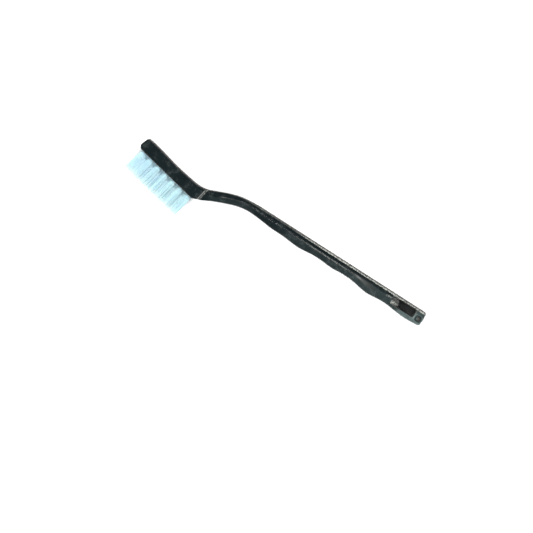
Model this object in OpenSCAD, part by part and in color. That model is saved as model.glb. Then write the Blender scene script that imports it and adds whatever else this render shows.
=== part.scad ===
// Crook-neck hand brush: one moulded handle and twenty bristle tufts, each tuft folded round a
// flat wire anchor that is pressed into a blind hole of the head.
// The brush lies on its side. X runs from the head to the hanging end, Y points from the
// bristles to the back, and Z is the thickness. The origin is under the middle of the whole box.

/* [Handle] */
// Length from the toe of the head to the hanging end
overall_len = 178; // [174:1:190]
// Thickness of the head, the neck bead, the rail and the end pad
body_w = 12; // [11.6:0.1:14]
// Thickness of the neck and the grip below the rail
grip_w = 11; // [10:0.1:11.4]
// Height of the rail along the back edge, above the side groove
rail_h = 0.9; // [0.7:0.1:1.1]
// Height of the side groove
groove_h = 1.9; // [1.4:0.1:2.2]
// Depth of the groove below the side of the grip
groove_deep = 0.6; // [0.4:0.1:1.5]

/* [Head] */
// Length of the bristle face
face_len = 36.7; // [36.6:0.1:37.2]
// Angle between the bristle face and the grip
head_tilt = 11.5; // [10:0.5:13]
// Thickness of the head at its toe, from the bristle face to the back
head_t = 7.1; // [6.8:0.1:7.4]

/* [Bristles] */
// Free length of the bristles, from the face to the trimmed tips
trim = 13; // [8:0.5:20]
// Tufts in each outer row, one more than in the middle row
outer_tufts = 7; // [4:1:7]
// Distance between neighbouring tufts of a row
tuft_pitch = 5.5; // [5:0.1:5.5]
// Distance between rows
row_pitch = 3.4; // [3.2:0.1:3.5]
// Diameter of a tuft hole
hole_d = 3.1; // [2.6:0.1:3.2]
// Depth of a tuft hole
hole_deep = 5; // [4.4:0.1:5.4]
// Diameter of a tuft at its tips
tip_d = 4; // [3.4:0.1:4.1]
// Outward lean of the end tuft at the toe
toe_fan = 1.8; // [0:0.1:2.5]
// Outward lean of the end tuft at the heel
heel_fan = 1.5; // [0:0.1:2.5]

/* [Anchors] */
// Length of an anchor, across the hole and into the plastic on both sides
anchor_l = 3.9; // [3.7:0.1:4.1]
// Width of the flat anchor wire
anchor_h = 1.8; // [1.2:0.1:2.2]
// Space under an anchor for the filaments folded round it
fold_gap = 0.8; // [0.5:0.1:1]
// Thickness of the anchor wire
anchor_t = 0.4; // [0.3:0.05:0.5]
// Angle of the anchors to the length of the head
anchor_turn = 35; // [0:5:90]

/* [Hanging end] */
// Length of the hang slot along its back side
slot_len = 10.6; // [8:0.1:11.2]
// Height of the hang slot
slot_h = 4.6; // [4.4:0.1:4.8]
// Length of the end pad
pad_len = 5.2; // [4.8:0.1:6.5]

/* [Hidden] */
$fn = 48;
fit_gap = 0.05;
// Length of the handle as its outline points below are drawn
drawn_len = 178;
// Where the grip starts: only what lies past it stretches with the overall length
grip_x = 70;

// Bristle face: its toe end, the direction along it and the direction into the head
face_start = [2, -8.5];
along = [cos(head_tilt), -sin(head_tilt)];
inward = [sin(head_tilt), cos(head_tilt)];

// Back edge from the head over the neck to the straight grip
back_points = [
    [9, -2.6], [16, -4.25], [23, -5.85], [30, -7.1], [37.5, -8.1], [43, -7.45],
    [48, -5.45], [54, -3], [60, -1.2], [66, -0.35], [72, 0], [76, 0]
];

// Underside from the heel of the head through the finger scallops to the hanging end
under_points = [
    [43, -13.85], [48, -11.35], [54, -8.75], [60, -6.5], [65, -5.3],
    [70, -5.05], [76, -5.45], [83, -6.1], [91, -6.25], [100.5, -6.9], [111.5, -6],
    [121.5, -6.5], [129, -6.05], [135.5, -6.4], [144.5, -7.65], [155, -6.9], [168, -8],
    [178, -7.2]
];

// The bead crosses the neck here, square to a line that leans a little less than the head
bead_at = [41.7, -11];
bead_lean = 8;
bead_len = 2.3;

// Corner radii of the toe, how far its corners stand out past the face, and the hanging end's radii
toe_low_r = 3;
toe_low_out = 2.8;
toe_high_r = 1.7;
toe_high_out = 2.2;
end_high_r = 1.4;
end_low_r = 3;

// The rail and the groove start inside the bead, and a long ramp brings the groove up to the side
// at a distance from the ramp of the hang slot
rail_start = 41;
groove_ramp = 21;
groove_gap = 4;

// Hang slot: the side nearer the head slants, and a ramp leads into it
slot_top = -1.15;
slot_gap = 0.6;
slot_slant = 1.9;
slot_r = 0.7;
ramp_len = 3.6;
ramp_angle = 24;

// Bevel along the two edges of the back, from the neck to the end pad
edge_bevel = 0.5;
bevel_start = 60;

// Shallow rounded recess in each side of the end pad
recess_len = 3.4;
recess_h = 3;
recess_deep = 0.4;

// First tuft of an outer row, from the toe end of the face
first_tuft = 1.85;

pad_start = overall_len - pad_len;
slot_right = pad_start - slot_gap;
slot_left = slot_right - slot_len;
groove_end = slot_left - ramp_len - groove_gap;

function stretch(x) = x <= grip_x ? x
    : grip_x + (x - grip_x) * (overall_len - grip_x) / (drawn_len - grip_x);
function on_head(s, t) = face_start + s * along + t * inward;

// Smooth open curve through the points p, with n steps from each point to the next
function curve_point(a, b, c, d, t) = 0.5 * (
    2 * b + (c - a) * t + (2 * a - 5 * b + 4 * c - d) * t * t
    + (3 * b - 3 * c + d - a) * t * t * t
);
function curve(p, n) = concat(
    [for (i = [0 : len(p) - 2], j = [0 : n - 1])
        curve_point(p[max(i - 1, 0)], p[i], p[i + 1], p[min(i + 2, len(p) - 1)], j / n)],
    [p[len(p) - 1]]
);

// Arc in the plane of the head, with its centre at s, t
function head_arc(s, t, r, from, to, n) =
    [for (i = [0 : n]) let (a = from + (to - from) * i / n) on_head(s + r * cos(a), t + r * sin(a))];

// Corner at p, between the directions of a and b, rounded over the length r
function corner(a, p, b, r, n = 6) =
    let (start = p + r * (a - p) / norm(a - p), end = p + r * (b - p) / norm(b - p))
    [for (i = [0 : n]) let (t = i / n)
        (1 - t) * (1 - t) * start + 2 * t * (1 - t) * p + t * t * end];
function rounded(p, r) =
    [for (i = [0 : len(p) - 1]) each corner(p[(i + len(p) - 1) % len(p)], p[i], p[(i + 1) % len(p)], r)];

back = [for (q = curve(concat([on_head(toe_high_r - toe_high_out, head_t)], back_points), 5))
    [stretch(q.x), q.y]];
under = [for (q = curve(concat([on_head(face_len, 0)], under_points), 6)) [stretch(q.x), q.y]];
under_end = under[len(under) - 1];
end_low = [overall_len, under_end.y];
end_high = [overall_len, 0];
outline = concat(
    head_arc(toe_low_r - toe_low_out, toe_low_r, toe_low_r, 270, 180, 8),
    head_arc(toe_high_r - toe_high_out, head_t - toe_high_r, toe_high_r, 176, 96, 7),
    back,
    corner([grip_x, 0], end_high, end_low, end_high_r),
    corner(end_high, end_low, under[len(under) - 5], end_low_r),
    [for (i = [len(under) - 4 : -1 : 0]) under[i]]
);

// Tufts as [row name, number in the row, distance along the face, sideways offset]
face_mid = first_tuft + (outer_tufts - 1) * tuft_pitch / 2;
rows = [["upper", 1, outer_tufts], ["middle", 0, outer_tufts - 1], ["lower", -1, outer_tufts]];
tufts = [for (row = rows, i = [0 : row[2] - 1])
    [row[0], i + 1, face_mid + (i - (row[2] - 1) / 2) * tuft_pitch, row[1] * row_pitch]];
tuft_names = [for (t = tufts) str("tuft_", t[0], "_", t[1])];
anchor_names = [for (t = tufts) str("anchor_", t[0], "_", t[1])];

// A tuft leans from the toe fan at one end of the face to the heel fan at the other
function lean(s) = -toe_fan + (toe_fan + heel_fan) * (s - first_tuft) / (2 * (face_mid - first_tuft));
side_fan = 1;

// The free part of a tuft starts inside its root, this deep and this much narrower
neck_deep = 0.5;
neck_in = 0.3;

// The whole box is centred in X and Y: the bristle tips at the toe and heel reach furthest
tip_toe = on_head(first_tuft - trim * tan(toe_fan) - tip_d / 2, -trim);
tip_heel = on_head(2 * face_mid - first_tuft + trim * tan(heel_fan) + tip_d / 2, -trim);
middle = [(tip_toe.x + overall_len) / 2, tip_heel.y / 2];

// Moves what is drawn about the middle plane of the brush to its resting place
module lying() {
    translate([-middle.x, -middle.y, body_w / 2]) children();
}

// Puts what is drawn on the face, +Z out of the head, at distance s and sideways offset z
module at_face(s, z) {
    p = on_head(s, 0);
    translate([p.x, p.y, z])
        rotate([0, 0, -head_tilt])
        rotate([90, 0, 0])
        children();
}

// Same place, leaning with the tuft
module at_tuft(t) {
    at_face(t[2], t[3])
        rotate([0, lean(t[2]), 0])
        rotate([-side_fan * t[3] / row_pitch, 0, 0])
        children();
}

module slab(w) {
    linear_extrude(w, center = true) children();
}

// Neck bead seen from the side, extended past both edges
module bead_band(from, to) {
    translate(bead_at)
        rotate(-bead_lean)
        translate([from, -20])
        square([to - from, 40]);
}

// Same cut repeated in both sides, mirrored about the middle plane
module both_sides() {
    children();
    mirror([0, 0, 1]) children();
}

// Strip that follows the back edge up to the given x, between two depths below it
module back_strip(from_y, to_y, end_x) {
    path = concat([for (q = back) if (q.x >= rail_start) q], [[end_x, 0]]);
    polygon(concat(
        [for (q = path) q - [0, from_y]],
        [for (i = [len(path) - 1 : -1 : 0]) path[i] - [0, to_y]]
    ));
}

// Groove in the side: full depth along the neck and grip, then a ramp up to the side. It is cut
// a little into the band of the rail, which is added afterwards.
module groove() {
    floor_z = grip_w / 2 - groove_deep;
    slope = atan(groove_deep / groove_ramp);
    difference() {
        translate([0, 0, floor_z])
            linear_extrude(groove_deep + 1)
            back_strip(rail_h - 0.4, rail_h + groove_h, groove_end + 1);
        translate([groove_end - groove_ramp, -rail_h - groove_h - 1, floor_z])
            rotate([0, -slope, 0])
            translate([0, 0, -4])
            cube([groove_ramp * 2, groove_h + 2, 4]);
    }
}

// What reaches the full thickness, seen from the side: head and bead, rail and end pad
module thick_shape() {
    intersection() {
        polygon(outline);
        union() {
            bead_band(-60, bead_len / 2);
            back_strip(-1, rail_h, overall_len + 1);
            translate([pad_start, -20]) square([pad_len + 1, 40]);
        }
    }
}

module slot_shape() {
    polygon(rounded([
        [slot_left, slot_top],
        [slot_right, slot_top],
        [slot_right, slot_top - slot_h],
        [slot_left + slot_slant, slot_top - slot_h]
    ], slot_r));
}

// Ramp that leads from the side of the grip down into the slanted end of the slot
module slot_ramp() {
    translate([slot_left - ramp_len, slot_top - slot_h - 0.2, grip_w / 2])
        rotate([0, ramp_angle, 0])
        cube([ramp_len + slot_slant + 1, slot_h - 0.6, 4]);
}

// Bevel cut along one edge of the rail's back
module back_bevel() {
    side = edge_bevel * sqrt(2);
    translate([bevel_start, 0, body_w / 2])
        rotate([45, 0, 0])
        translate([0, -side / 2, -side / 2])
        cube([overall_len - bevel_start + 1, side, side]);
}

module pad_recess() {
    translate([overall_len - pad_len / 2 - recess_len / 2 + 0.3, -3.2 - recess_h, body_w / 2 - recess_deep])
        linear_extrude(recess_deep + 1)
        polygon(rounded([[0, 0], [0, recess_h], [recess_len, recess_h], [recess_len, 0]], 1.2));
}

// Slit across the bottom of a tuft hole, which the anchor fills from side to side
module anchor_slit(gap) {
    translate([0, 0, -hole_deep + fold_gap + anchor_h / 2])
        rotate([0, 0, anchor_turn])
        cube([anchor_l + 2 * gap, anchor_t + 2 * gap, anchor_h + 2 * gap], center = true);
}

module tuft_hole(t) {
    at_face(t[2], t[3]) {
        translate([0, 0, -hole_deep]) cylinder(d = hole_d, h = hole_deep + 1);
        anchor_slit(0);
    }
}

// One moulding: head, bead, crook neck, grooved grip with finger scallops, and hanging end
module handle() {
    color([0.10, 0.12, 0.12]) lying() difference() {
        union() {
            difference() {
                slab(grip_w) polygon(outline);
                both_sides() groove();
            }
            slab(body_w) thick_shape();
        }
        both_sides() back_bevel();
        both_sides() slot_ramp();
        both_sides() pad_recess();
        both_sides() head_step();
        slab(2 * body_w) slot_shape();
        for (t = tufts) tuft_hole(t);
    }
}

// The head's side stops a little short of the bead, so that the bead stands proud on both sides
module head_step() {
    translate([0, 0, body_w / 2 - 0.3])
        linear_extrude(1)
        bead_band(-bead_len / 2 - 3, -bead_len / 2);
}

// Bundle of filaments: round in its hole, widening to the tips, trimmed parallel to the face
module tuft(t) {
    root_d = hole_d - 2 * fit_gap;
    color([0.80, 0.93, 0.96]) lying() difference() {
        union() {
            at_face(t[2], t[3])
                translate([0, 0, -hole_deep + fit_gap])
                cylinder(d = root_d, h = hole_deep - fit_gap);
            at_tuft(t)
                translate([0, 0, -neck_deep])
                cylinder(d1 = root_d - neck_in, d2 = tip_d, h = trim + neck_deep + 0.2);
        }
        at_face(t[2], t[3]) {
            anchor_slit(fit_gap);
            translate([-5, -5, trim]) cube([10, 10, 3]);
        }
    }
}

// Flat wire that holds the folded filaments at the bottom of the hole
module anchor(t) {
    color([0.78, 0.76, 0.70]) lying() at_face(t[2], t[3]) anchor_slit(0);
}

handle();
for (i = [0 : len(tufts) - 1]) {
    tuft(tufts[i]);
    anchor(tufts[i]);
}
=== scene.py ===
"""Crook-neck hand brush: a moulded handle, twenty nylon tufts and the anchors that hold them."""
import math

import bmesh
import bpy
import numpy as np
from mathutils import Matrix, Vector

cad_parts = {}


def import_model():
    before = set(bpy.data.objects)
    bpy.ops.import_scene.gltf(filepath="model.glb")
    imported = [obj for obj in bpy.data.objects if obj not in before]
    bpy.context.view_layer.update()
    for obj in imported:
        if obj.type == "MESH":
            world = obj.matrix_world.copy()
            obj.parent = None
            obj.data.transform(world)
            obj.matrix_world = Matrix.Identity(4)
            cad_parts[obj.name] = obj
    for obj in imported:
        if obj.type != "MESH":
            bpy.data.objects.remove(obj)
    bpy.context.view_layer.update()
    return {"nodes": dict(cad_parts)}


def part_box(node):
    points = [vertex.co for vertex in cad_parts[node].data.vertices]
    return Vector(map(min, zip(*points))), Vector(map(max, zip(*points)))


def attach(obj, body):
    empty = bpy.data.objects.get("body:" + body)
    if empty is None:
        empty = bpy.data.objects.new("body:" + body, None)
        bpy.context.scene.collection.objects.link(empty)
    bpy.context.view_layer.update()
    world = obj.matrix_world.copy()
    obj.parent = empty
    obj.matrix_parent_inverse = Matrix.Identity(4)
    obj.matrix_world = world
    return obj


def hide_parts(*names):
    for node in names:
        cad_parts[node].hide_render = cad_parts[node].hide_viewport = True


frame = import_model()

MM = 0.001
rng = np.random.default_rng(7)

# ---------------------------------------------------------------------------------------------
# The side view of the handle is drawn in millimetres: x from the toe of the head to the hanging
# end, y up to the straight back edge, and z out from the middle plane. world() puts a drawn
# point where the CAD handle lies.

handle_low, handle_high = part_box("handle")
DRAWN_LEN = 178.0
CURVE_STEPS, ARC_STEPS = 16, 24
MID_Z = (handle_low.z + handle_high.z) / 2
HEAD_HALF = (handle_high.z - handle_low.z) / 2 / MM
GRIP_HALF = HEAD_HALF - 0.5


def world(x, y, z=0.0):
    return Vector((handle_high.x + (x - DRAWN_LEN) * MM, handle_high.y + y * MM, MID_Z + z * MM))


HEAD_TILT = math.radians(11.5)
FACE_LEN = 36.7
HEAD_T = 7.1
FACE_START = np.array([2.0, -8.5])
ALONG = np.array([math.cos(HEAD_TILT), -math.sin(HEAD_TILT)])
INWARD = np.array([math.sin(HEAD_TILT), math.cos(HEAD_TILT)])
HEAD_END, NECK_END = 38.0, 60.0

BACK_POINTS = [
    (9, -2.6), (16, -4.25), (23, -5.85), (30, -7.1), (37.5, -8.1), (43, -7.45),
    (48, -5.45), (54, -3), (60, -1.2), (66, -0.35), (72, 0), (76, 0),
]
UNDER_POINTS = [
    (43, -14), (48, -11.5), (54, -8.95), (60, -6.7), (65, -5.55),
    (70, -5.3), (76, -5.7), (83, -6.35), (91, -6.5), (100.5, -7.15), (111.5, -6.25),
    (121.5, -6.75), (129, -6.3), (135.5, -6.65), (144.5, -7.9), (155, -7.15), (168, -8.2),
    (178, -7.65),
]
TOE_LOW_R, TOE_LOW_OUT = 2.8, 2.6
TOE_HIGH_R, TOE_HIGH_OUT = 1.6, 2.1
END_HIGH_R, END_LOW_R = 1.2, 1.4

BEAD_X, BEAD_LEAN, BEAD_LEN = 42.0, math.radians(9.5), 2.4
BEAD_LOW, BEAD_HIGH = BEAD_X - BEAD_LEN / 2, BEAD_X + BEAD_LEN / 2
PAD_START = DRAWN_LEN - 5.2
SLOT_RIGHT = PAD_START - 0.15
SLOT_LEFT = SLOT_RIGHT - 11.05
SLOT_TOP, SLOT_SLANT = -1.1, 2.0
SLOT_LOW = SLOT_TOP - 4.65


def on_head(s, t):
    """Drawn point s along the bristle face from its toe end, and t up from it into the head."""
    return FACE_START + s * ALONG + t * INWARD


def smooth(x, low, high):
    """0 below low, 1 above high, and a smooth step between."""
    t = min(max((x - low) / (high - low), 0.0), 1.0)
    return t * t * (3 - 2 * t)


def face_outwards(mesh):
    """Turns the faces of closed shells so that they face outwards."""
    bm = bmesh.new()
    bm.from_mesh(mesh)
    bmesh.ops.recalc_face_normals(bm, faces=bm.faces)
    if bm.calc_volume(signed=True) < 0:
        bmesh.ops.reverse_faces(bm, faces=bm.faces)
    bm.to_mesh(mesh)
    bm.free()


def ring_faces(rings, n, base=0):
    """Faces between rings of n points, which follow each other from vertex base on."""
    faces = []
    for start in range(base, base + (rings - 1) * n, n):
        for j in range(n):
            k = (j + 1) % n
            faces.append((start + j, start + k, start + n + k, start + n + j))
    return faces


def end_faces(rings, n, base=0):
    """Flat faces over the first and the last of the rings."""
    last = base + (rings - 1) * n
    return [tuple(range(base, base + n))[::-1], tuple(range(last, last + n))]


def add_marks(mesh, names, marks):
    """Writes an attribute for each name, from the values that each vertex has in marks."""
    for name, values in zip(names, zip(*marks)):
        mesh.attributes.new(name, "FLOAT", "POINT").data.foreach_set("value", values)


def smooth_curve(points, n):
    """Points along a smooth open curve through the given ones, n steps from each to the next."""
    p = np.array(points, float)
    out = []
    for i in range(len(p) - 1):
        a, b, c, d = p[max(i - 1, 0)], p[i], p[i + 1], p[min(i + 2, len(p) - 1)]
        for j in range(n):
            t = j / n
            out.append(0.5 * (2 * b + (c - a) * t + (2 * a - 5 * b + 4 * c - d) * t ** 2
                              + (3 * b - 3 * c + d - a) * t ** 3))
    return out + [p[-1]]


def value_along(points, x):
    """Value at x of a smooth line through the points (x, value)."""
    p = np.array(smooth_curve(points, 8))
    return float(np.interp(x, p[:, 0], p[:, 1]))


def head_arc(s, t, r, start, end, n):
    return [on_head(s + r * math.cos(a), t + r * math.sin(a))
            for a in np.radians(np.linspace(start, end, n + 1))]


def corner(a, p, b, r, n=10):
    """Rounded corner at p between the directions of a and b."""
    a, p, b = (np.array(q, float) for q in (a, p, b))
    start = p + r * (a - p) / np.linalg.norm(a - p)
    end = p + r * (b - p) / np.linalg.norm(b - p)
    return [(1 - t) ** 2 * start + 2 * t * (1 - t) * p + t ** 2 * end
            for t in np.linspace(0, 1, n + 1)]


def rounded(points, r, n=6):
    """The closed outline with every corner rounded."""
    after = points[1:] + points[:1]
    return [q for i, p in enumerate(points) for q in corner(points[i - 1], p, after[i], r, n)]


def handle_outline():
    """Side view of the handle, from the toe over the back and along the underside to the face."""
    back = smooth_curve([on_head(TOE_HIGH_R - TOE_HIGH_OUT, HEAD_T)] + BACK_POINTS, CURVE_STEPS)
    under = smooth_curve([on_head(FACE_LEN, 0)] + UNDER_POINTS, CURVE_STEPS)
    low, high = (DRAWN_LEN, under[-1][1]), (DRAWN_LEN, 0.0)
    keep = [q for q in under if q[0] < DRAWN_LEN - END_LOW_R]
    return np.array(
        head_arc(TOE_LOW_R - TOE_LOW_OUT, TOE_LOW_R, TOE_LOW_R, 270, 180, ARC_STEPS)
        + head_arc(TOE_HIGH_R - TOE_HIGH_OUT, HEAD_T - TOE_HIGH_R, TOE_HIGH_R, 176, 94, ARC_STEPS)
        + back
        + corner(back[-1], high, low, END_HIGH_R)
        + corner(high, low, keep[-1], END_LOW_R)
        + keep[::-1]
    )


OUTLINE = handle_outline()


def crossing(centre, lean):
    """Where a line through centre, leaning from +y to +x, meets the back and the underside."""
    way = np.array([math.sin(lean), math.cos(lean)])
    p = OUTLINE - centre
    q = np.roll(p, -1, axis=0)
    side_p = p[:, 0] * way[1] - p[:, 1] * way[0]
    side_q = q[:, 0] * way[1] - q[:, 1] * way[0]
    cut = (side_p > 0) != (side_q > 0)
    t = side_p[cut] / (side_p[cut] - side_q[cut])
    height = (p[cut] + t[:, None] * (q[cut] - p[cut])) @ way
    return centre + height.max() * way, centre + height.min() * way


def outline_distance(points):
    """Distance from each drawn point to the outline."""
    a = OUTLINE
    ab = np.roll(a, -1, axis=0) - a
    p = points[:, None, :]
    t = np.clip(((p - a) * ab).sum(-1) / np.maximum((ab * ab).sum(-1), 1e-12), 0, 1)
    gap = p - (a + t[..., None] * ab)
    return np.sqrt((gap ** 2).sum(-1)).min(1)


# ---------------------------------------------------------------------------------------------
# Handle mesh: rings across the handle, each with the same points. A ring starts in the middle of
# the back, goes over the rail, the groove and the lower body to the middle of the underside, and
# comes back on the other side.

HEAD_MID = 3.5
TOE_OUT = 2.53
NEAR_END = [0.01, 0.04, 0.12, 0.25, 0.42, 0.62, 0.85, 1.1, 1.4, 1.75, 2.1, 2.5, 3.0]


def station_centre(x):
    """Middle of the ring at x, and how far the ring leans."""
    lean = HEAD_TILT + (BEAD_LEAN - HEAD_TILT) * smooth(x, HEAD_END - 1, BEAD_X - 1)
    lean -= BEAD_LEAN * smooth(x, BEAD_X + 2, NECK_END)
    if x < HEAD_END:
        centre = on_head((x - FACE_START[0] - HEAD_MID * INWARD[0]) / ALONG[0], HEAD_MID)
    else:
        height_inside = -4.0 - 9 * (1 - smooth(x, 40, 62))
        top, bottom = crossing(np.array([x, height_inside]), 0.0)
        centre = (top + bottom) / 2
    return centre, lean


def station_list():
    """x of every ring: closer together at both ends, over the bead and at the step of the pad."""
    toe_x = FACE_START[0] - TOE_OUT * ALONG[0] + HEAD_MID * INWARD[0]
    spans = [
        [toe_x + e for e in NEAR_END],
        np.arange(toe_x + 3.6, HEAD_END - 1, 0.8),
        np.arange(HEAD_END - 1, BEAD_LOW - 0.1, 0.3),
        np.arange(BEAD_LOW - 0.1, BEAD_HIGH + 0.2, 0.08),
        np.arange(BEAD_HIGH + 0.25, 160.0, 0.6),
        np.arange(160.0, PAD_START - 0.1, 0.5),
        np.arange(PAD_START - 0.1, PAD_START + 0.5, 0.08),
        np.arange(PAD_START + 0.55, DRAWN_LEN - 3.0, 0.4),
        [DRAWN_LEN - e for e in NEAR_END[::-1]],
    ]
    return [float(x) for span in spans for x in span]


# The side of the grip, from the back: the rail, the floor of the groove, the wall up to the lower
# body, and the lower body down to the rounded underside. Depths are measured from the back edge,
# and FLOOR_END is (x, depth at which the wall starts). All depths shrink with the handle where it
# is thinner than FULL_DEPTH.
FLOOR_END = [
    (40, 2.4), (45, 2.5), (48, 2.7), (52, 2.4), (57, 2.1), (61, 1.8), (65, 1.6), (69, 1.75),
    (75, 2.2), (100, 2.4), (120, 2.6), (135, 2.5), (160, 2.5), (178, 2.5),
]
FULL_DEPTH, GROOVE_DEEP, WALL_W = 5.0, 0.5, 0.65
EDGE_DEPTH, EDGE_FALL = 0.28, 0.2
EDGE_STEPS = (0, 0.03, 0.08, 0.13, 0.3, 0.55, 0.78, 0.85, 0.92, 1)
# The rail's lower lip as depth, fall and paleness from rubbing and painted highlight, and the foot
# under it as depth and rise
LIP = ((0.04, 0.0, 1.0), (0.08, 0.04, 1.0), (0.11, 0.14, 0.7))
FOOT = ((0.15, 0.16), (0.19, 0.05), (0.25, 0.0))
FLOOR_STEPS = (0.3, 0.65)
WALL_STEPS = (0, 0.06, 0.13, 0.22, 0.5, 0.78, 0.87, 0.94, 1)
BODY_STEPS = tuple(np.linspace(0, 1, 12)[1:-1])
UNDER_ANGLES = np.radians(np.linspace(0, 90, 9))
BACK_PARTS = (0.0, 0.02, 0.05, 0.3, 0.55, 0.8, 0.97)
UNDER_PARTS = (0.97, 0.75, 0.5, 0.25, 0.05, 0.02, 0.0)
MATT_EDGE_POINTS = 6
SEAM_RISE, SEAM_HALF = 0.05, 0.045

# How far the side sinks next to the bead and between its ridges, and the level of the end pad
BEAD_SUNK, BEAD_DIP = 0.3, 0.32
PAD_LEVEL = HEAD_HALF - 0.12


def bead_ridges(x):
    """1 on the tops of the bead's two fine ridges, and 0 off them."""
    across = (x - BEAD_LOW) / BEAD_LEN
    return max(math.exp(-((across - middle) / 0.12) ** 2) for middle in (0.42, 0.78))


def side_levels(x):
    """Levels of the side at x: rail, groove floor and lower body, out from the middle plane."""
    start = HEAD_HALF - BEAD_SUNK
    if x < BEAD_LOW:
        level = HEAD_HALF - BEAD_SUNK * smooth(x, BEAD_LOW - 3, BEAD_LOW - 0.3)
        return level, level, level
    if x < BEAD_HIGH:
        level = HEAD_HALF - BEAD_DIP * (1 - bead_ridges(x))
        return level, level, level
    rise = smooth(x, BEAD_HIGH, BEAD_HIGH + 0.25)
    body = start + (GRIP_HALF - start) * rise
    rail = start + (GRIP_HALF + 0.1 + 0.35 * smooth(x, 60, 95) - start) * rise
    groove = GROOVE_DEEP * rise * (1 - 0.85 * smooth(x, 126, 148))
    floor = body - groove
    pad = smooth(x, PAD_START, PAD_START + 0.3)
    body += (PAD_LEVEL - body) * pad
    floor += (PAD_LEVEL - floor) * pad
    return rail, floor, body


def rail_side(x, shrink, rail, floor):
    """Points (depth, level, paleness) over the rail and its foot, and the depth where the foot ends.
    """
    lip = (0.3 + 0.2 * smooth(x, 62, 72) + 0.3 * smooth(x, 85, 112)) * shrink
    # paler towards the hanging end: partly rubbing, partly a painted highlight along the rail
    worn_and_lit = 0.05 + 0.5 * smooth(x, 60, 70) + 0.55 * smooth(x, 86, 110)
    stands = min(1.0, max(rail - floor, 0.0) / GROOVE_DEEP)
    points = [(EDGE_DEPTH * shrink * t, rail, worn_and_lit * (0.3 + 0.7 * t)) for t in EDGE_STEPS]
    points += [(lip + d * shrink, rail - fall * stands, wear_and_glint * worn_and_lit) for d, fall, wear_and_glint in LIP]
    points += [(lip + d * shrink, floor + rise * stands, 0.0) for d, rise in FOOT]
    return points, points[-1][0]


def wall_side(x, on_grip, start, width, floor, body):
    """Points up the groove's lower wall, pale along the grip and on part of the neck: partly from
    rubbing, partly a painted highlight.
    """
    rub_and_glint = 0.62 * smooth(x, 96, 110) + 0.28 * smooth(x, 48, 52) * (1 - smooth(x, 62, 70))
    # painted highlight: a short bright streak on the neck's wall
    rub_and_glint += 0.35 * math.exp(-((x - 53) / 1.5) ** 2)
    fade = on_grip * (1 - smooth(x, 127, 134))
    points = []
    for t in WALL_STEPS:
        climb = min(max((t - 0.1) / 0.8, 0.0), 1.0)
        rise = 0.75 * climb + 0.25 * smooth(climb, 0, 1)
        wear_and_glint = rub_and_glint * fade if 0.1 < t < 0.95 else 0.0
        points.append((start + width * t, floor + (body - floor) * rise, wear_and_glint))
    return points


def body_side(x, on_grip, low, room, body):
    """Points down the lower body, a little full on the grip and sunk along the hang slot."""
    bulge = 0.05 * on_grip * (1 - smooth(x, 150, 160))
    dip = 0.1 * smooth(x, SLOT_LEFT - 1.5, SLOT_LEFT + 1)
    dip *= 1 - smooth(x, SLOT_RIGHT - 0.2, SLOT_RIGHT + 0.4)
    points = []
    for t in BODY_STEPS:
        depth = low + room * t
        by_slot = max(0.0, 1 - max(0.0, depth + SLOT_LOW) / 2.0)
        points.append((depth, body + bulge * math.sin(math.pi * t) - dip * by_slot, 0.0))
    return points


def ring_levels(side, gap, edge, head, under_r):
    """Levels of the side's points, let down near the outline: bevelled at the back, round below.

    gap is how far each point is from the outline, and edge is the depth of the bevel.
    """
    levels = []
    for i, (_, level, _) in enumerate(side):
        near = min(gap[i] / (edge if i < len(side) // 2 else under_r), 1.0)
        curved = 1 - math.sqrt(1 - (1 - near) ** 2)
        if i < len(side) // 2:
            flat = max(0.0, (0.86 - near) / 0.86) + 0.35 * max(0.0, (0.12 - near) / 0.12)
            levels.append(level - EDGE_FALL * (curved * head + flat * (1 - head)))
        else:
            levels.append(level - under_r * curved)
    return levels


def seam_rise(part):
    """Height of the fine moulding seam along the middle, for part from the middle to the side."""
    return SEAM_RISE * max(0.0, 1 - part / SEAM_HALF)


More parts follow.
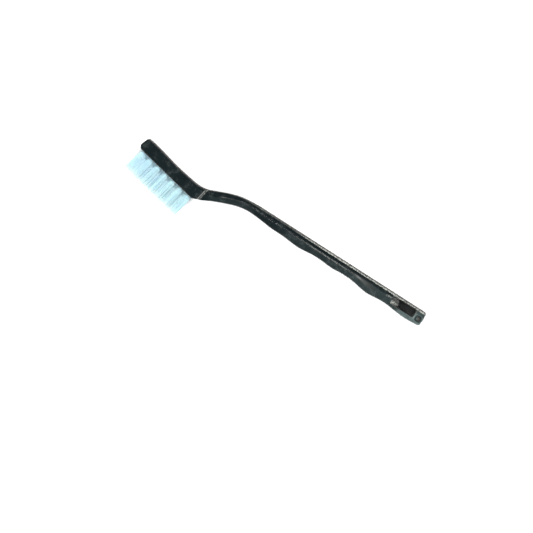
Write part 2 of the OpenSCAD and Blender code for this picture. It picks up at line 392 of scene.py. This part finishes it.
def half_ring(x):
    """Half a ring from back to underside: drawn x, y, z, then paleness from rubbing and painted
    highlight, how matt, and dusting with painted sheen.
    """
    centre, lean = station_centre(x)
    top, bottom = crossing(centre, lean)
    depth = float(np.linalg.norm(bottom - top))
    way = (bottom - top) / depth
    rail, floor, body = side_levels(x)
    head = 1 - smooth(x, BEAD_X + 1, BEAD_X + 8)
    on_grip = 1 - head
    shrink = min(1.0, depth / FULL_DEPTH)
    floor_end = value_along(FLOOR_END, x) * shrink
    wall = WALL_W * shrink * (1 + 3 * smooth(x, 131, 146))
    low = floor_end + wall
    under_r = (0.4 - 0.15 * head) * shrink

    side, foot = rail_side(x, shrink, rail, floor)
    side += [(foot + (floor_end - foot) * t, floor, 0.0) for t in FLOOR_STEPS]
    wall_start = len(side)
    side += wall_side(x, on_grip, floor_end, wall, floor, body)
    body_start = len(side)
    side += body_side(x, on_grip, low, depth - under_r - low, body)
    under = depth - under_r
    side += [(under + under_r * math.sin(a), body, 0.12 * on_grip) for a in UNDER_ANGLES]

    xy = np.array([top + way * d for d, _, _ in side])
    levels = ring_levels(side, outline_distance(xy), EDGE_DEPTH * shrink, head, under_r)
    # the bead's ridges are painted pale: partly rubbing, partly a painted highlight where they catch
    # light
    on_bead = bead_ridges(x) if abs(x - BEAD_X) < BEAD_LEN / 2 else 0.0
    wall_matt = 0.25 * smooth(x, 128, 134) * (1 - smooth(x, 143, 150))
    # a light dusting on the neck's lower body, partly painted sheen
    body_dust_sheen = 0.08 * smooth(x, 45, 48) * (1 - smooth(x, 60, 80))
    ring = []
    for part in BACK_PARTS:
        place = top - way * seam_rise(part)
        ring.append((*place, levels[0] * part, 0.6 * on_bead * part, 1.0, 0.0))
    for i, (place, level, (_, _, worn_and_lit)) in enumerate(zip(xy, levels, side)):
        matt = 0.6 * head if i < MATT_EDGE_POINTS else wall_matt * (wall_start <= i < body_start)
        dust_and_sheen = body_dust_sheen if i >= body_start else 0.0
        ring.append((*place, level, max(worn_and_lit, 0.85 * on_bead), matt, dust_and_sheen))
    for part in UNDER_PARTS:
        place = bottom + way * seam_rise(part)
        ring.append((*place, levels[-1] * part, 0.0, 0.5 * on_grip, 0.0))
    return ring


def sweep_handle():
    """Closed mesh of rings, with attributes that say how pale from rubbing and painted highlight, how
    matt, and how dusted with painted sheen each point is.
    """
    rings = []
    for x in station_list():
        half = half_ring(x)
        mirrored = [(x, y, -z, *marks) for x, y, z, *marks in half[-2:0:-1]]
        rings.append(half + mirrored)
    count, n = len(rings), len(rings[0])
    verts = [world(*p[:3]) for ring in rings for p in ring]
    marks = [p[3:] for ring in rings for p in ring]
    faces = ring_faces(count, n)
    for end in end_faces(count, n):
        centre = len(verts)
        verts.append(sum((verts[i] for i in end), Vector()) / n)
        marks.append((0.1, 0.5, 0.0))
        faces += [(centre, end[i - 1], end[i]) for i in range(n)]
    mesh = bpy.data.meshes.new("handle_shell")
    mesh.from_pydata(verts, [], faces)
    add_marks(mesh, ("wear_and_glint", "matt", "dust_and_sheen"), marks)
    face_outwards(mesh)
    return mesh


# ---------------------------------------------------------------------------------------------
# Cutters: the hang slot with its ramps, the recess in the end pad and the tuft holes.

def outset(points, r):
    """The closed outline moved outwards by r."""
    p = np.array(points)
    ahead = np.roll(p, -1, axis=0) - np.roll(p, 1, axis=0)
    normal = np.stack([ahead[:, 1], -ahead[:, 0]], 1)
    normal /= np.linalg.norm(normal, axis=1)[:, None]
    area = np.sum(p[:, 0] * np.roll(p[:, 1], -1) - p[:, 1] * np.roll(p[:, 0], -1))
    return p + normal * (r if area > 0 else -r)


def loft(layers):
    """Closed solid through layers of (drawn outline, z), as vertices and faces."""
    count, n = len(layers), len(layers[0][0])
    verts = [world(x, y, z) for points, z in layers for x, y in points]
    return verts, end_faces(count, n) + ring_faces(count, n)


SLOT_R = 0.7
# From inside to outside: how far the outline is moved out, and its level from GRIP_HALF
SLOT_LAYERS = ((0, -0.35), (0.1, -0.1), (0.42, 1.1))


def slot_solid():
    """Cut right through the grip, wider towards both sides."""
    shape = rounded([(SLOT_LEFT, SLOT_TOP), (SLOT_RIGHT, SLOT_TOP), (SLOT_RIGHT, SLOT_LOW),
                     (SLOT_LEFT + SLOT_SLANT, SLOT_LOW)], SLOT_R)
    half = [(outset(shape, r), GRIP_HALF + rise) for r, rise in SLOT_LAYERS]
    return loft([(layer, -z) for layer, z in half[::-1]] + half)


RAMP_START, RAMP_END = SLOT_LEFT - 3.6, SLOT_LEFT + SLOT_SLANT + 0.8
RAMP_LOW, RAMP_HIGH = SLOT_LOW - 0.1, SLOT_TOP - 0.35
RAMP_FALL = math.tan(math.radians(24))
RAMP_COLUMNS, RAMP_ROWS = 26, 20
RAMP_ROUGH, RAMP_RIM = 0.09, 0.35


def ramp_solid(side):
    """Cut with a rough floor, from the side of the grip down into the slanted end of the slot."""
    verts = []
    for j in range(RAMP_ROWS):
        y = RAMP_LOW + (RAMP_HIGH - RAMP_LOW) * j / (RAMP_ROWS - 1)
        rim = RAMP_RIM * max(0.0, 1 - min(j, RAMP_ROWS - 1 - j) / 2)
        for i in range(RAMP_COLUMNS):
            x = RAMP_START + (RAMP_END - RAMP_START) * i / (RAMP_COLUMNS - 1)
            floor = GRIP_HALF + 0.15 - (x - RAMP_START) * RAMP_FALL
            verts.append(world(x, y, side * (floor + rim + rng.normal(0, RAMP_ROUGH))))
        for x in (RAMP_END, RAMP_START):
            verts.append(world(x, y, side * (HEAD_HALF + 1)))
    n = RAMP_COLUMNS + 2
    return verts, ring_faces(RAMP_ROWS, n) + end_faces(RAMP_ROWS, n)


RECESS_LEFT, RECESS_RIGHT = PAD_START + 1.1, DRAWN_LEN - 0.7
RECESS_LOW, RECESS_HIGH = -6.3, -3.0
RECESS_R = 1.1
# From the island to the outside: how far the outline is moved out, and its level from HEAD_HALF
RECESS_LAYERS = ((-0.8, -0.2), (-0.6, -0.8), (-0.3, -0.8), (0, -0.4), (0.25, -0.02), (0.3, 0.4))


def recess_solid(side):
    """Shallow round-cornered recess in the end pad, with a low island in its middle."""
    shape = rounded([(RECESS_LEFT, RECESS_LOW), (RECESS_LEFT, RECESS_HIGH),
                     (RECESS_RIGHT, RECESS_HIGH), (RECESS_RIGHT, RECESS_LOW)], RECESS_R)
    return loft([(outset(shape, r), side * (HEAD_HALF + rise)) for r, rise in RECESS_LAYERS])


HOLE_DEEP, FOLD_GAP, ANCHOR_H, HOLE_R = 5.0, 0.8, 1.8, 1.55
HOLE_SIDES = 32
# Depth under the bristle face and radius, from above the mouth to the bottom
HOLE_LAYERS = ((-1.0, HOLE_R), (HOLE_DEEP - 0.5, HOLE_R), (HOLE_DEEP, HOLE_R * 0.7))
ANCHOR_DEEP = HOLE_DEEP - FOLD_GAP - ANCHOR_H / 2
OUT = Vector((-INWARD[0], -INWARD[1], 0))
HEADWARD = Vector((ALONG[0], ALONG[1], 0))
SIDE = Vector((0, 0, 1))
TUFTS = sorted(name[len("tuft_"):] for name in frame["nodes"] if name.startswith("tuft_"))


def tuft_root(name):
    """Middle of the tuft's hole at the bristle face, found from its anchor."""
    low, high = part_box("anchor_" + name)
    return (low + high) / 2 + OUT * ANCHOR_DEEP * MM


def hole_solid(root):
    verts = []
    for depth, r in HOLE_LAYERS:
        for i in range(HOLE_SIDES):
            a = 2 * math.pi * i / HOLE_SIDES
            spoke = HEADWARD * math.cos(a) + SIDE * math.sin(a)
            verts.append(root - OUT * depth * MM + spoke * r * MM)
    count = len(HOLE_LAYERS)
    return verts, ring_faces(count, HOLE_SIDES) + end_faces(count, HOLE_SIDES)


def new_object(name, data):
    ob = bpy.data.objects.new(name, data)
    bpy.context.scene.collection.objects.link(ob)
    return ob


def solids_object(name, solids):
    """One object that holds all the solids."""
    bm = bmesh.new()
    for verts, faces in solids:
        made = [bm.verts.new(v) for v in verts]
        for face in faces:
            bm.faces.new([made[i] for i in face])
    bmesh.ops.recalc_face_normals(bm, faces=bm.faces)
    mesh = bpy.data.meshes.new(name)
    bm.to_mesh(mesh)
    bm.free()
    return new_object(name, mesh)


def cutter_object():
    solids = [slot_solid()] + [recess_solid(side) for side in (-1, 1)]
    return solids_object("cutter", solids + [hole_solid(tuft_root(name)) for name in TUFTS])


def ramp_object():
    return solids_object("ramp_cutter", [ramp_solid(side) for side in (-1, 1)])


def cut(ob, *cutters):
    """ob with the cutters taken away and its modifiers applied."""
    for cutter in cutters:
        mod = ob.modifiers.new("cut", "BOOLEAN")
        mod.operation = "DIFFERENCE"
        mod.solver = "EXACT"
        mod.object = cutter
    depsgraph = bpy.context.evaluated_depsgraph_get()
    mesh = bpy.data.meshes.new_from_object(ob.evaluated_get(depsgraph), depsgraph=depsgraph)
    ob.modifiers.clear()
    ob.data = mesh
    for cutter in cutters:
        bpy.data.objects.remove(cutter)


# Marks of use and painted highlights, from MARKS_FROM to the hanging end and under MARKS_HIGH.
# By their distance from the middle plane, nothing at the slot is marked below SLOT_WALL, and
# nothing elsewhere below SIDE_FROM. The painted highlight line before the slot is a short line
# that rises a little, and FAR is a distance at which no mark shows.
SLOT_WALL, SIDE_FROM, FAR = 3.6, 3.4, 9.0
MARKS_FROM, MARKS_HIGH = 60, -0.9
GLINT_LEFT, GLINT_RIGHT, GLINT_Y, GLINT_SLOPE = 154.4, 158.8, -2.9, 0.1
SHARP = math.radians(28)


def in_slot(x, y, z):
    return (SLOT_LEFT - 0.1 < x < SLOT_RIGHT + 0.1 and SLOT_LOW - 0.2 < y < SLOT_TOP - 0.2
            and z < SLOT_WALL)


def on_ramp(x, y, z):
    return (RAMP_START < x < SLOT_LEFT + SLOT_SLANT and RAMP_LOW < y < RAMP_HIGH
            and SIDE_FROM < z < GRIP_HALF - 0.04)


def in_recess(x, y):
    return x > RECESS_LEFT - 0.2 and RECESS_LOW - 0.2 < y < RECESS_HIGH + 0.2


def ramp_wear(x, y):
    """Pale over the lower part of the ramp, but for a dark lower corner next to the slot."""
    dark_corner = (1 - smooth(y, -5.5, -5.1)) * smooth(x, 159.5, 160.5)
    return 1.0 - 0.65 * smooth(y, -4.4, -3.2) - 0.8 * dark_corner


def side_wear_and_glints(v, x, y, before):
    """Paleness of the sharp edges from rubbing, plus a painted highlight line before the slot and a
    painted highlight on the step of the pad.
    """
    # painted highlight: a short bright line, rising a little, before the slot
    glint_y = GLINT_Y + GLINT_SLOPE * (x - GLINT_LEFT - 0.2)
    glint_gap = abs(y - glint_y) / 0.35 if GLINT_LEFT < x < GLINT_RIGHT else FAR
    # painted highlight along the pad's step
    step = abs(x - PAD_START - 0.15) / 0.3 if -5.7 < y < -1.2 else FAR
    folds = (e.calc_face_angle(0.0) for e in v.link_edges if len(e.link_faces) == 2)
    if x > RAMP_START - 0.5 and max(folds, default=0.0) > SHARP:
        before = max(before, 0.5 - 0.2 * smooth(x, PAD_START, PAD_START + 1))
    return max(before, 0.95 * math.exp(-glint_gap ** 2), 0.5 * math.exp(-step ** 2))


def side_dust_and_sheen(x, y, z):
    """Pale dusting with painted sheen on the lower part of the grip's side, more round the slot and
    on the pad, and little on the recess floor as painted darkening.
    """
    below = smooth(-y, 2.2, 3.2)
    lower_dust_sheen = (0.1 * smooth(x, 75, 105) + 0.125 * smooth(x, 120, 145)) * below
    on_pad = 0.6 + 0.2 * smooth(x, SLOT_RIGHT, PAD_START)
    on_pad *= smooth(x, SLOT_LEFT, SLOT_LEFT + 4) * (0.4 + 0.6 * below)
    if in_recess(x, y):
        # the recess floor keeps little of the pale veil, so it stays dark as painted shade
        return lower_dust_sheen + on_pad * (1.0 if z > HEAD_HALF - 0.35 else 0.2)
    return lower_dust_sheen + on_pad * (z > 4.5)


def mark_hanging_end(mesh):
    """Marks the ramps and sharp edges pale from rubbing, paints highlights before the slot and on the
    pad's step, and lays pale dusting with painted sheen on the grip and pad.
    """
    bm = bmesh.new()
    bm.from_mesh(mesh)
    wear_and_glint = bm.verts.layers.float["wear_and_glint"]
    dust_and_sheen = bm.verts.layers.float["dust_and_sheen"]
    for v in bm.verts:
        x = (v.co.x - handle_high.x) / MM + DRAWN_LEN
        y = (v.co.y - handle_high.y) / MM
        z = abs(v.co.z - MID_Z) / MM
        if x < MARKS_FROM or y > MARKS_HIGH or in_slot(x, y, z):
            continue
        if on_ramp(x, y, z):
            v[wear_and_glint] = ramp_wear(x, y)
        elif z > SIDE_FROM:
            v[wear_and_glint] = 0.0 if in_recess(x, y) else side_wear_and_glints(v, x, y, v[wear_and_glint])
            v[dust_and_sheen] += side_dust_and_sheen(x, y, z)
    bm.to_mesh(mesh)
    bm.free()


def soften(mesh, degrees):
    """Smooth shading with the edges sharper than the angle kept crisp."""
    crisp = math.radians(degrees)
    bm = bmesh.new()
    bm.from_mesh(mesh)
    for face in bm.faces:
        face.smooth = True
    for edge in bm.edges:
        edge.smooth = len(edge.link_faces) == 2 and edge.calc_face_angle(0.0) < crisp
    bm.to_mesh(mesh)
    bm.free()


# ---------------------------------------------------------------------------------------------
# Materials

def new_material(name):
    mat = bpy.data.materials.new(name)
    mat.use_nodes = True
    nodes = mat.node_tree.nodes
    return mat, mat.node_tree, nodes["Principled BSDF"]


def feed(tree, made, inputs):
    """Gives a node its inputs: a socket is linked, and a value is set directly."""
    for key, value in inputs.items():
        if isinstance(value, bpy.types.NodeSocket):
            tree.links.new(value, made.inputs[key])
        else:
            made.inputs[key].default_value = value


def node(tree, kind, inputs=None, **settings):
    made = tree.nodes.new(kind)
    for key, value in settings.items():
        setattr(made, key, value)
    feed(tree, made, inputs or {})
    return made


def object_place(tree):
    return node(tree, "ShaderNodeTexCoord").outputs["Object"]


def attribute(tree, name):
    return node(tree, "ShaderNodeAttribute", attribute_name=name).outputs["Fac"]


def noise(tree, where, scale, detail=4.0, rough=0.55):
    inputs = {"Vector": where, "Scale": scale, "Detail": detail, "Roughness": rough}
    return node(tree, "ShaderNodeTexNoise", inputs).outputs["Fac"]


def mapped(tree, value, low, high, to_low=0.0, to_high=1.0):
    """value mapped from low..high to to_low..to_high, and held there."""
    inputs = {
        "Value": value, "From Min": low, "From Max": high, "To Min": to_low, "To Max": to_high,
    }
    return node(tree, "ShaderNodeMapRange", inputs).outputs["Result"]


def mix_colour(tree, fac, a, b):
    return node(tree, "ShaderNodeMix", {0: fac, 6: a, 7: b}, data_type="RGBA").outputs[2]


def math_node(tree, operation, a, b):
    return node(tree, "ShaderNodeMath", {0: a, 1: b}, operation=operation).outputs[0]


def times(tree, a, b):
    return math_node(tree, "MULTIPLY", a, b)


def bump(tree, height, distance, strength=1.0, before=None):
    inputs = {"Height": height, "Distance": distance, "Strength": strength}
    if before is not None:
        inputs["Normal"] = before
    return node(tree, "ShaderNodeBump", inputs).outputs["Normal"]


BLACK, LIFTED_BLACK = (0.0028, 0.0052, 0.006, 1), (0.005, 0.0085, 0.0095, 1)
SCUFF_GREY, SPECK_GREY = (0.03, 0.038, 0.037, 1), (0.13, 0.125, 0.11, 1)
# DUST_SHEEN_GREY is a pale veil: partly dust, partly painted sheen on the lower sides; the groove and
# recess floor left without it stay dark as painted shade
DUST_SHEEN_GREY, DULL_BROWN = (0.09, 0.12, 0.118, 1), (0.021, 0.016, 0.012, 1)
# pale of edges rubbed in use, also used for painted highlights
RUBBED_AND_GLINT_PALE = (0.37, 0.375, 0.345, 1)


def plastic_material():
    """Near-black moulded plastic: fine texture, scuffs, specks, dusting with painted sheen, and pale
    edges from rubbing and painted highlights.
    """
    mat, tree, shader = new_material("moulded_plastic")
    where = object_place(tree)
    grain = noise(tree, where, 2600, 3)
    mottle = noise(tree, where, 260, 5, 0.65)
    blotch = noise(tree, where, 55, 4)
    speck = noise(tree, where, 900, 2)
    grit = mapped(tree, noise(tree, where, 1600, 2), 0.42, 0.58, 0.3, 1.0)
    wear_and_glint, matt, dust_and_sheen = (attribute(tree, name) for name in ("wear_and_glint", "matt", "dust_and_sheen"))

    scuff = times(tree, mapped(tree, mottle, 0.5, 0.72), mapped(tree, blotch, 0.35, 0.65))
    dust_sheen_veil = times(tree, dust_and_sheen, mapped(tree, mottle, 0.25, 0.7, 0.4, 1.0))
    # pale where wear_and_glint is high: edges rubbed in use, and painted highlights on the rail,
    # groove wall, bead, pad step and the line before the slot
    rubbed_and_glint = times(tree, times(tree, wear_and_glint, grit), mapped(tree, mottle, 0.25, 0.65, 0.65, 1.0))
    covers = (
        (times(tree, scuff, 0.6), SCUFF_GREY),
        (times(tree, mapped(tree, speck, 0.68, 0.78), 0.2), SPECK_GREY),
        (dust_sheen_veil, DUST_SHEEN_GREY),
        (matt, DULL_BROWN),
        (math_node(tree, "POWER", rubbed_and_glint, 1.6), RUBBED_AND_GLINT_PALE),
    )
    colour = mix_colour(tree, mapped(tree, blotch, 0.3, 0.7), BLACK, LIFTED_BLACK)
    for amount, cover in covers:
        colour = mix_colour(tree, amount, colour, cover)
    gloss_marks = mapped(tree, mottle, 0.3, 0.7, 0.18, 0.28)
    scuffed = math_node(tree, "ADD", gloss_marks, times(tree, scuff, 0.1))
    roughness = math_node(tree, "ADD", scuffed, times(tree, matt, 0.6))
    fine = bump(tree, grain, 0.00002, 0.5)
    feed(tree, shader, {
        "Base Color": colour, "Roughness": roughness, "IOR": 1.5, "Specular IOR Level": 0.28,
        "Normal": bump(tree, mottle, 0.00006, 0.35, fine),
    })
    return mat


# NYLON_BLUE also carries the painted bluish shade of the middle row and the toe end
NYLON_BLUE, NYLON_GREEN = (0.69, 0.86, 0.94, 1), (0.71, 0.88, 0.85, 1)
NYLON_DEEP = (0.34, 0.58, 0.72, 1)
CLOUD_WHITE, TIP_WHITE = (0.93, 0.98, 1.0, 1), (0.95, 0.95, 0.9, 1)


def nylon_material():
    """Pale cyan nylon filament: each one a little different, cloudy, and whiter at the cut tip, with
    a painted bluish tint at the toe and on the middle row, and painted light keeping the middle row
    bright.
    """
    mat, tree, shader = new_material("nylon_filament")
    cloud = noise(tree, object_place(tree), 900, 3)
    tone_and_light_tint, tip, streak_and_fill = (attribute(tree, name) for name in ("tone_and_light_tint", "tip", "streak_and_fill"))
    body = mix_colour(tree, tone_and_light_tint, NYLON_BLUE, NYLON_GREEN)
    streaked = mix_colour(tree, streak_and_fill, NYLON_DEEP, body)
    clouded = mix_colour(tree, mapped(tree, cloud, 0.35, 0.7, 0.0, 0.15), streaked, CLOUD_WHITE)
    tipped = mix_colour(tree, times(tree, tip, 0.5), clouded, TIP_WHITE)
    feed(tree, shader, {
        "Base Color": tipped, "Roughness": mapped(tree, cloud, 0.3, 0.7, 0.28, 0.45), "IOR": 1.53,
        "Normal": bump(tree, cloud, 0.00003, 0.4),
    })
    through = node(tree, "ShaderNodeBsdfTranslucent", {"Color": tipped})
    halves = {0: 0.55, 1: shader.outputs[0], 2: through.outputs[0]}
    mixed = node(tree, "ShaderNodeMixShader", halves)
    feed(tree, tree.nodes["Material Output"], {"Surface": mixed.outputs[0]})
    return mat


BRASS, TARNISHED_BRASS = (0.78, 0.62, 0.33, 1), (0.52, 0.38, 0.18, 1)


def anchor_material():
    """Drawn brass flat wire with fine lengthwise lines."""
    mat, tree, shader = new_material("anchor_wire")
    where = object_place(tree)
    drawn_out = node(tree, "ShaderNodeMapping", {"Vector": where, "Scale": (200, 200, 9000)})
    lines = noise(tree, drawn_out.outputs["Vector"], 1.0, 3)
    tarnish = mapped(tree, noise(tree, where, 700, 3), 0.35, 0.7)
    feed(tree, shader, {
        "Base Color": mix_colour(tree, tarnish, BRASS, TARNISHED_BRASS), "Metallic": 1.0,
        "Roughness": mapped(tree, lines, 0.3, 0.7, 0.22, 0.42),
        "Normal": bump(tree, lines, 0.00001, 0.5),
    })
    return mat


PAPER, PAPER_LIT = (0.93, 0.93, 0.93, 1), (0.95, 0.95, 0.95, 1)


def floor_material():
    mat, tree, shader = new_material("pale_floor")
    paper = mix_colour(tree, noise(tree, object_place(tree), 300, 3), PAPER, PAPER_LIT)
    feed(tree, shader, {"Base Color": paper, "Roughness": 0.9, "Specular IOR Level": 0.1})
    return mat


# ---------------------------------------------------------------------------------------------
# Pieces

def finish_piece(ob, mat, slot, *nodes):
    ob.data.materials.clear()
    ob.data.materials.append(mat)
    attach(ob, "root")
    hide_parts(*nodes)


HANDLE_CRISP, TUFT_CRISP = 32, 50


def make_handle(mat):
    ob = new_object("moulded_handle", sweep_handle())
    cut(ob, cutter_object(), ramp_object())
    mark_hanging_end(ob.data)
    soften(ob.data, HANDLE_CRISP)
    finish_piece(ob, mat, "handle", "handle")


# A tuft is FILAMENTS folded round its anchor wire, which lies at WIRE_TURN to the head's length.
# Lengths are in millimetres, and TIP_FROM is the point of a filament's path where its tip begins.
FILAMENTS, FILAMENT_R, TUBE_SIDES = 38, 0.15, 6
TRIM, ROOT_R, TIP_R = 13.0, 1.48, 1.82
TOE_FAN, HEEL_FAN, SIDE_FAN = math.radians(4), math.radians(0.8), math.radians(1)
WIRE_TURN = math.radians(35)
BESIDE_WIRE = HEADWARD * -math.sin(WIRE_TURN) + SIDE * math.cos(WIRE_TURN)
ALONG_WIRE = HEADWARD * -math.cos(WIRE_TURN) + SIDE * -math.sin(WIRE_TURN)
FOLD_DEEP, FOLD_NEST, WIRE_CLEAR = HOLE_DEEP - FOLD_GAP + 0.12, 0.35, 0.36
FREE_STEPS = (0.05, 0.15, 0.3, 0.5, 0.7, 0.86, 1.0)
FLARE = 0.08
BOW, STRAY_SHARE, STRAY_BOW = 0.11, 0.04, 3
TRIM_SHORT, TRIM_LONG = -0.12, 0.1
TIP_FROM = 9


def bundle_places():
    """Places of folded filaments on one side of the anchor, spread evenly over half a disc."""
    golden = math.pi * (3 - math.sqrt(5))
    total = FILAMENTS * 2
    spiral = [(math.sqrt((i + 0.5) / total) * ROOT_R, i * golden) for i in range(total)]
    places = [(r * math.cos(a), r * math.sin(a)) for r, a in spiral]
    return [place for place in places if place[0] > 0]


def filament_path(place, sign, root, axis, bow, reach):
    """Centre line of half a filament: fold under the anchor, up the hole, and out to the tip."""
    a, b = place[0] * sign, place[1]

    def at(depth, a, b):
        return root + (OUT * -depth + BESIDE_WIRE * a + ALONG_WIRE * b) * MM

    under = FOLD_DEEP + FOLD_NEST * place[0] / ROOT_R
    clear = sign * max(abs(a), WIRE_CLEAR)
    points = [at(under, 0.0, b * 0.95), at(under - 0.1, clear * 0.6, b * 0.97),
              at(under - 0.5, clear, b), at(1.2, clear, b), at(0.0, a, b)]
    for t in FREE_STEPS:
        grow = 1 + (TIP_R / ROOT_R - 1) * t ** FLARE
        sway = bow * (0.5 * math.sin(math.pi * t) + t * t)
        spread = BESIDE_WIRE * (a * grow + sway.x) + ALONG_WIRE * (b * grow + sway.y)
        points.append(root + (axis * (t * reach) + spread) * MM)
    return points


def tube(points, r):
    """Ring vertices of a tube along the points."""
    verts = []
    for i, p in enumerate(points):
        ahead = (points[min(i + 1, len(points) - 1)] - points[max(i - 1, 0)]).normalized()
        u = ahead.cross(SIDE if abs(ahead.z) < 0.9 else HEADWARD).normalized()
        v = ahead.cross(u)
        for j in range(TUBE_SIDES):
            a = 2 * math.pi * j / TUBE_SIDES
            verts.append(p + (u * math.cos(a) + v * math.sin(a)) * r * MM)
    return verts


def make_tuft(name, first_x, last_x, mat):
    """One tuft, which leans by its place along the head, with its filaments as closed tubes."""
    root = tuft_root(name)
    in_middle = name.startswith("middle")
    along = (root.x - first_x) / (last_x - first_x)
    lean = -TOE_FAN + (TOE_FAN + HEEL_FAN) * along
    side_lean = SIDE_FAN * {"upper": 1, "middle": 0, "lower": -1}[name.split("_")[0]]
    upright = OUT * math.cos(lean) + HEADWARD * math.sin(lean)
    axis = upright * math.cos(side_lean) + SIDE * math.sin(side_lean)
    verts, faces, marks = [], [], []
    for place in bundle_places():
        # random tint, plus painted light: the middle row and the toe end lean to NYLON_BLUE for the
        # bluish shade between the tufts and at the toe
        tone_and_light_tint = 0.3 * (not in_middle) + 0.45 * rng.random() + 0.25 * along
        for sign in (1, -1):
            bow = Vector(rng.normal(0, BOW, 2))
            if rng.random() < STRAY_SHARE:
                bow = bow * STRAY_BOW
            reach = TRIM + rng.uniform(TRIM_SHORT, TRIM_LONG)
            # random darker streaks; the middle row is kept light as painted fill light, where the
            # outer tufts shadow it
            streak_and_fill = rng.uniform(0.9 if in_middle else 0.5, 1.0)
            points = filament_path(place, sign, root, axis, bow, reach)
            count, base = len(points), len(verts)
            verts += tube(points, FILAMENT_R)
            faces += ring_faces(count, TUBE_SIDES, base) + end_faces(count, TUBE_SIDES, base)
            for i in range(count):
                tip = max(0.0, (i - TIP_FROM) / (count - 1 - TIP_FROM))
                marks += [(tone_and_light_tint, tip, streak_and_fill)] * TUBE_SIDES
    mesh = bpy.data.meshes.new("tuft_" + name)
    mesh.from_pydata(verts, [], faces)
    add_marks(mesh, ("tone_and_light_tint", "tip", "streak_and_fill"), marks)
    face_outwards(mesh)
    soften(mesh, TUFT_CRISP)
    finish_piece(new_object("bristles_" + name, mesh), mat, "bristles", "tuft_" + name)


def make_tufts(mat):
    roots = [tuft_root(name).x for name in TUFTS]
    for name in TUFTS:
        make_tuft(name, min(roots), max(roots), mat)


def dress_anchors(mat):
    for name in TUFTS:
        ob = frame["nodes"]["anchor_" + name]
        ob.data.materials.clear()
        ob.data.materials.append(mat)


# ---------------------------------------------------------------------------------------------
# Stage

FLOOR_HALF = 1.5


def make_floor():
    h, z = FLOOR_HALF, handle_low.z
    mesh = bpy.data.meshes.new("floor")
    mesh.from_pydata([(-h, -h, z), (h, -h, z), (h, h, z), (-h, h, z)], [], [(0, 1, 2, 3)])
    mesh.materials.append(floor_material())
    floor = new_object("floor", mesh)


HEAD_MIDDLE = Vector((-0.07, 0, 0))
LIGHT_AWAY, LIGHT_TOEWARD, LIGHT_WIDE = 0.75, 0.015, 0.12
# Name, side of the brush, angle up in degrees, height and power of each box light
BOX_LIGHTS = (("front_box", -1, 45, 0.3, 6.9), ("back_box", 1, 58, 0.1, 5.2))


def area_light(name, place, aim, size, power):
    data = bpy.data.lights.new(name, "AREA")
    data.shape = "RECTANGLE"
    data.size, data.size_y = size
    data.energy = power
    ob = new_object(name, data)
    ob.location = place
    ob.rotation_euler = (aim - place).to_track_quat("-Z", "Y").to_euler()


def make_lights():
    """Two box lights across the head, and a white sky with a bright band and a dark top."""
    for name, side, lift, tall, power in BOX_LIGHTS:
        away = side * LIGHT_AWAY * math.cos(math.radians(lift))
        rise = LIGHT_AWAY * math.sin(math.radians(lift))
        place = HEAD_MIDDLE + Vector((0.2 * away - LIGHT_TOEWARD, 0.98 * away, rise))
        area_light(name, place, HEAD_MIDDLE, (LIGHT_WIDE, tall), power)
    sky = bpy.data.worlds.new("studio")
    bpy.context.scene.world = sky
    sky.use_nodes = True
    tree = sky.node_tree
    direction = node(tree, "ShaderNodeTexCoord").outputs["Generated"]
    up = node(tree, "ShaderNodeSeparateXYZ", {0: direction}).outputs["Z"]
    level = times(tree, mapped(tree, up, 0.25, 0.5, 0.1, 1.0), mapped(tree, up, 0.5, 0.74, 2.6, 0.02))
    feed(tree, tree.nodes["Background"], {"Color": (1, 1, 1, 1), "Strength": level})


VIEW_TILT, VIEW_ROLL = math.radians(3), math.radians(32.69)
VIEW_WIDTH, VIEW_AWAY = 0.2867, 2.4
VIEW_AIM = (91.97, -25.19)
SENSOR_WIDTH = 36


def make_camera():
    """Almost straight down, tipped towards the back, with the handle running down to the right."""
    data = bpy.data.cameras.new("camera")
    data.sensor_width = SENSOR_WIDTH
    data.lens = SENSOR_WIDTH * VIEW_AWAY / VIEW_WIDTH
    camera = new_object("camera", data)
    turn = Matrix.Rotation(-VIEW_TILT, 4, "X") @ Matrix.Rotation(VIEW_ROLL, 4, "Z")
    back_off = Matrix.Translation((0, 0, VIEW_AWAY))
    camera.matrix_world = Matrix.Translation(world(*VIEW_AIM)) @ turn @ back_off
    bpy.context.scene.camera = camera
    bpy.context.scene.view_settings.view_transform = "Standard"


make_camera()
make_lights()
make_floor()
make_handle(plastic_material())
make_tufts(nylon_material())
dress_anchors(anchor_material())
